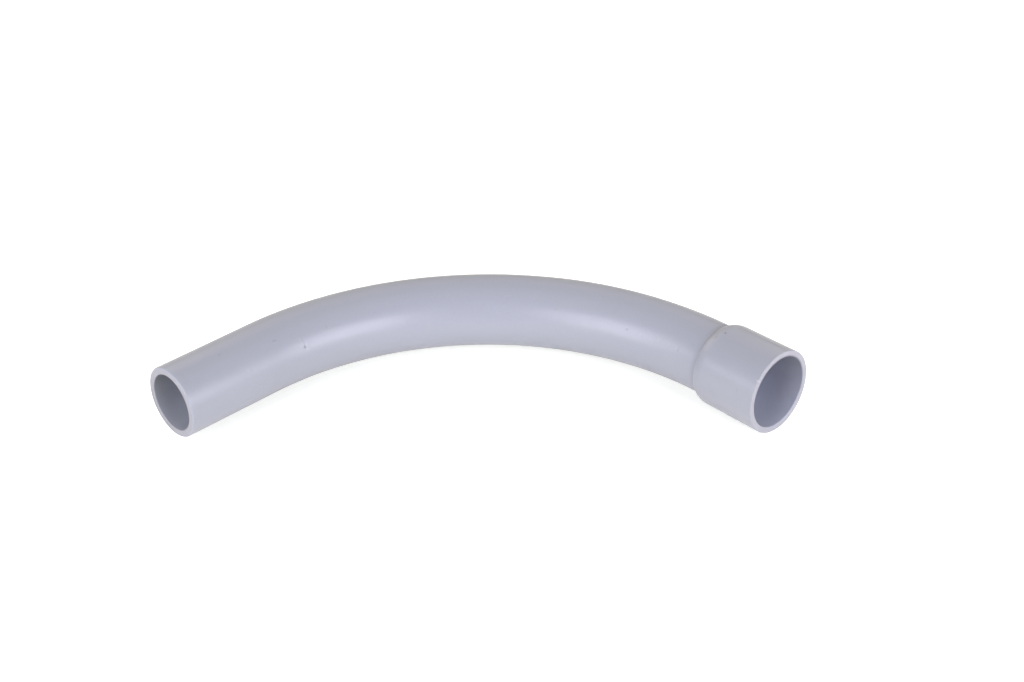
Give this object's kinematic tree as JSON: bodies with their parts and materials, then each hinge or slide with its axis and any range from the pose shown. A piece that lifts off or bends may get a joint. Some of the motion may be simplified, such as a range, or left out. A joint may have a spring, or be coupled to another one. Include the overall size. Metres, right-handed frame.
{
  "type": "pvc conduit elbow",
  "caption": "Right-angle sweep elbow of rigid grey conduit: plain spigot at one end, rounded coupling with an open socket at the other.",
  "frame": {"origin": "centre of the socket's mouth, where the next length of conduit goes in", "axes": "+X out of the socket along its axis, -Y out of the spigot along its axis, +Z square to the plane of the bend"},
  "size_m": [0.1972, 0.2136, 0.0392],
  "materials": {
    "conduit_pvc": "light bluish-grey rigid PVC with a soft satin sheen, extruded and bent",
    "coupling_pvc": "light bluish-grey rigid PVC, slightly duller than the conduit",
    "cement": "thin dried solvent cement, greyish tan"
  },
  "bodies": {
    "root": {"bend_tube": "conduit_pvc", "socket_coupling": "coupling_pvc", "cement_film": "cement"}
  },
  "joints": []
}
